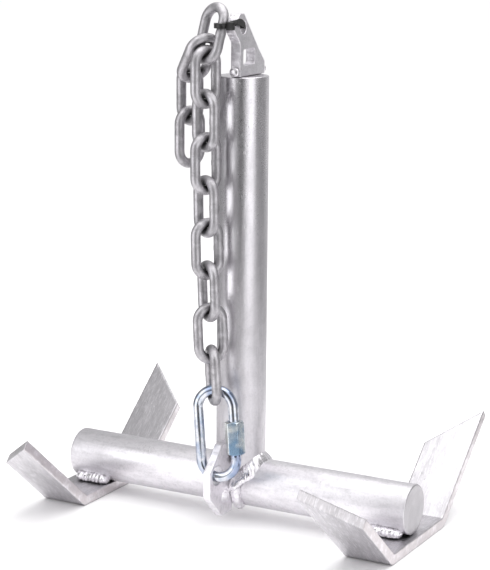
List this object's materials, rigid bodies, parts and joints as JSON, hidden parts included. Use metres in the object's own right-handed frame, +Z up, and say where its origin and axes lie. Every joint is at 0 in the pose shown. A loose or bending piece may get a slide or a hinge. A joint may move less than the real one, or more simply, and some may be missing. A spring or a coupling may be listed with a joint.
{
  "type": "boat anchor",
  "caption": "Welded galvanised river anchor: round shank on a round crossbar with bent pointed flukes, and a chain from a quick link at the crown to a breakaway cable tie at the head eye.",
  "frame": {"origin": "centre of the bounding box, on the ground plane under the flukes' flats", "axes": "+Z up the shank, +X along the crossbar, the chain hangs on the -Y side"},
  "size_m": [0.3018, 0.2566, 0.3942],
  "materials": {
    "galvanised_steel": "hot-dip galvanised, bright, softly streaked and finely pitted",
    "galvanised_weld": "hot-dip galvanised over lumpy hand-made weld beads",
    "chain_steel": "satin galvanised chain, warmer and darker than the frame",
    "zinc_plated_steel": "bright zinc plate, near mirror",
    "black_nylon": "semi-gloss black nylon"
  },
  "bodies": {
    "anchor_frame": {"shank": "galvanised_steel", "crossbar": "galvanised_steel", "eye_plate": "galvanised_steel", "crown_plate": "galvanised_steel", "fluke_left": "galvanised_steel", "fluke_right": "galvanised_steel", "shank_foot_weld": "galvanised_weld", "fluke_left_front_weld": "galvanised_weld", "fluke_left_back_weld": "galvanised_weld", "fluke_right_front_weld": "galvanised_weld", "fluke_right_back_weld": "galvanised_weld", "crown_plate_lower_weld_left": "galvanised_weld", "crown_plate_lower_weld_right": "galvanised_weld", "crown_plate_upper_weld_left": "galvanised_weld", "crown_plate_upper_weld_right": "galvanised_weld", "eye_plate_front_weld": "galvanised_weld", "eye_plate_back_weld": "galvanised_weld", "cable_tie_strap": "black_nylon", "cable_tie_head": "black_nylon"},
    "tie_link": {"tie_link": "chain_steel"},
    "chain_link_1": {"chain_link_1": "chain_steel"},
    "chain_link_2": {"chain_link_2": "chain_steel"},
    "chain_link_3": {"chain_link_3": "chain_steel"},
    "chain_link_4": {"chain_link_4": "chain_steel"},
    "chain_link_5": {"chain_link_5": "chain_steel"},
    "chain_link_6": {"chain_link_6": "chain_steel"},
    "chain_link_7": {"chain_link_7": "chain_steel"},
    "chain_link_8": {"chain_link_8": "chain_steel"},
    "tail_link_1": {"tail_link_1": "chain_steel"},
    "tail_link_2": {"tail_link_2": "chain_steel"},
    "tail_link_3": {"tail_link_3": "chain_steel"},
    "quick_link": {"quick_link": "zinc_plated_steel"},
    "sleeve_nut": {"sleeve_nut": "zinc_plated_steel"}
  },
  "joints": [
    {"name": "tie_link_swing", "type": "hinge", "parent": "anchor_frame", "child": "tie_link", "pos_m": [-0.00011, -0.03245, 0.3757], "axis": [-0.9397, 0.342, 0], "range_deg": [0, 0.8]},
    {"name": "strand_bow", "type": "hinge", "parent": "tie_link", "child": "chain_link_1", "pos_m": [-0.0119, -0.0353, 0.3523], "axis": [-0.9397, 0.342, 0], "range_deg": [0, 7.5]},
    {"name": "chain_link_2_swing", "type": "hinge", "parent": "chain_link_1", "child": "chain_link_2", "pos_m": [-0.0119, -0.0353, 0.3285], "axis": [-0.9397, 0.342, 0], "range_deg": [-1.9, 0]},
    {"name": "chain_link_3_swing", "type": "hinge", "parent": "chain_link_2", "child": "chain_link_3", "pos_m": [-0.01173, -0.03536, 0.2889], "axis": [-0.9397, 0.342, 0], "range_deg": [-1.9, 0]},
    {"name": "chain_link_4_swing", "type": "hinge", "parent": "chain_link_3", "child": "chain_link_4", "pos_m": [-0.01125, -0.03554, 0.2651], "axis": [-0.9397, 0.342, 0], "range_deg": [-1.9, 0]},
    {"name": "quick_link_swing", "type": "hinge", "parent": "anchor_frame", "child": "quick_link", "pos_m": [0.00121, -0.05178, 0.04128], "axis": [-0.9397, 0.342, 0], "range_deg": [-6.8, 0]},
    {"name": "chain_link_8_swing", "type": "hinge", "parent": "quick_link", "child": "chain_link_8", "pos_m": [-0.00151, -0.03908, 0.09902], "axis": [-0.9397, 0.342, 0], "range_deg": [0, 1.9]},
    {"name": "chain_link_7_swing", "type": "hinge", "parent": "chain_link_8", "child": "chain_link_7", "pos_m": [-0.00464, -0.03794, 0.13848], "axis": [-0.9397, 0.342, 0], "range_deg": [0, 1.9]},
    {"name": "chain_link_6_swing", "type": "hinge", "parent": "chain_link_7", "child": "chain_link_6", "pos_m": [-0.00712, -0.03704, 0.16219], "axis": [-0.9397, 0.342, 0], "range_deg": [0, 1.9]},
    {"name": "chain_link_5_swing", "type": "hinge", "parent": "chain_link_6", "child": "chain_link_5", "pos_m": [-0.00902, -0.03635, 0.20174], "axis": [-0.9397, 0.342, 0], "range_deg": [0, 1.9]},
    {"name": "sleeve_nut_travel", "type": "slide", "parent": "quick_link", "child": "sleeve_nut", "axis": [-0.0966, 0.0352, 0.9947], "range_m": [0, 0.0105]},
    {"name": "tail_link_1_swing", "type": "hinge", "parent": "tie_link", "child": "tail_link_1", "pos_m": [-0.01263, -0.03291, 0.3685], "axis": [0.5, 0.866, 0], "range_deg": [0, 25]},
    {"name": "tail_link_2_swing", "type": "hinge", "parent": "tail_link_1", "child": "tail_link_2", "pos_m": [-0.03374, -0.02072, 0.33729], "axis": [0.5, 0.866, 0], "range_deg": [0, 30]},
    {"name": "tail_link_3_swing", "type": "hinge", "parent": "tail_link_2", "child": "tail_link_3", "pos_m": [-0.03374, -0.02072, 0.30559], "axis": [0.9397, -0.342, 0], "range_deg": [-30, 30]}
  ],
  "couplings": [
    {"joint": "tie_link_swing", "follows": "strand_bow", "ratio": 0.1},
    {"joint": "chain_link_2_swing", "follows": "strand_bow", "ratio": -0.25},
    {"joint": "chain_link_3_swing", "follows": "strand_bow", "ratio": -0.25},
    {"joint": "chain_link_4_swing", "follows": "strand_bow", "ratio": -0.25},
    {"joint": "quick_link_swing", "follows": "strand_bow", "ratio": -0.9},
    {"joint": "chain_link_8_swing", "follows": "strand_bow", "ratio": 0.25},
    {"joint": "chain_link_7_swing", "follows": "strand_bow", "ratio": 0.25},
    {"joint": "chain_link_6_swing", "follows": "strand_bow", "ratio": 0.25},
    {"joint": "chain_link_5_swing", "follows": "strand_bow", "ratio": 0.25}
  ]
}
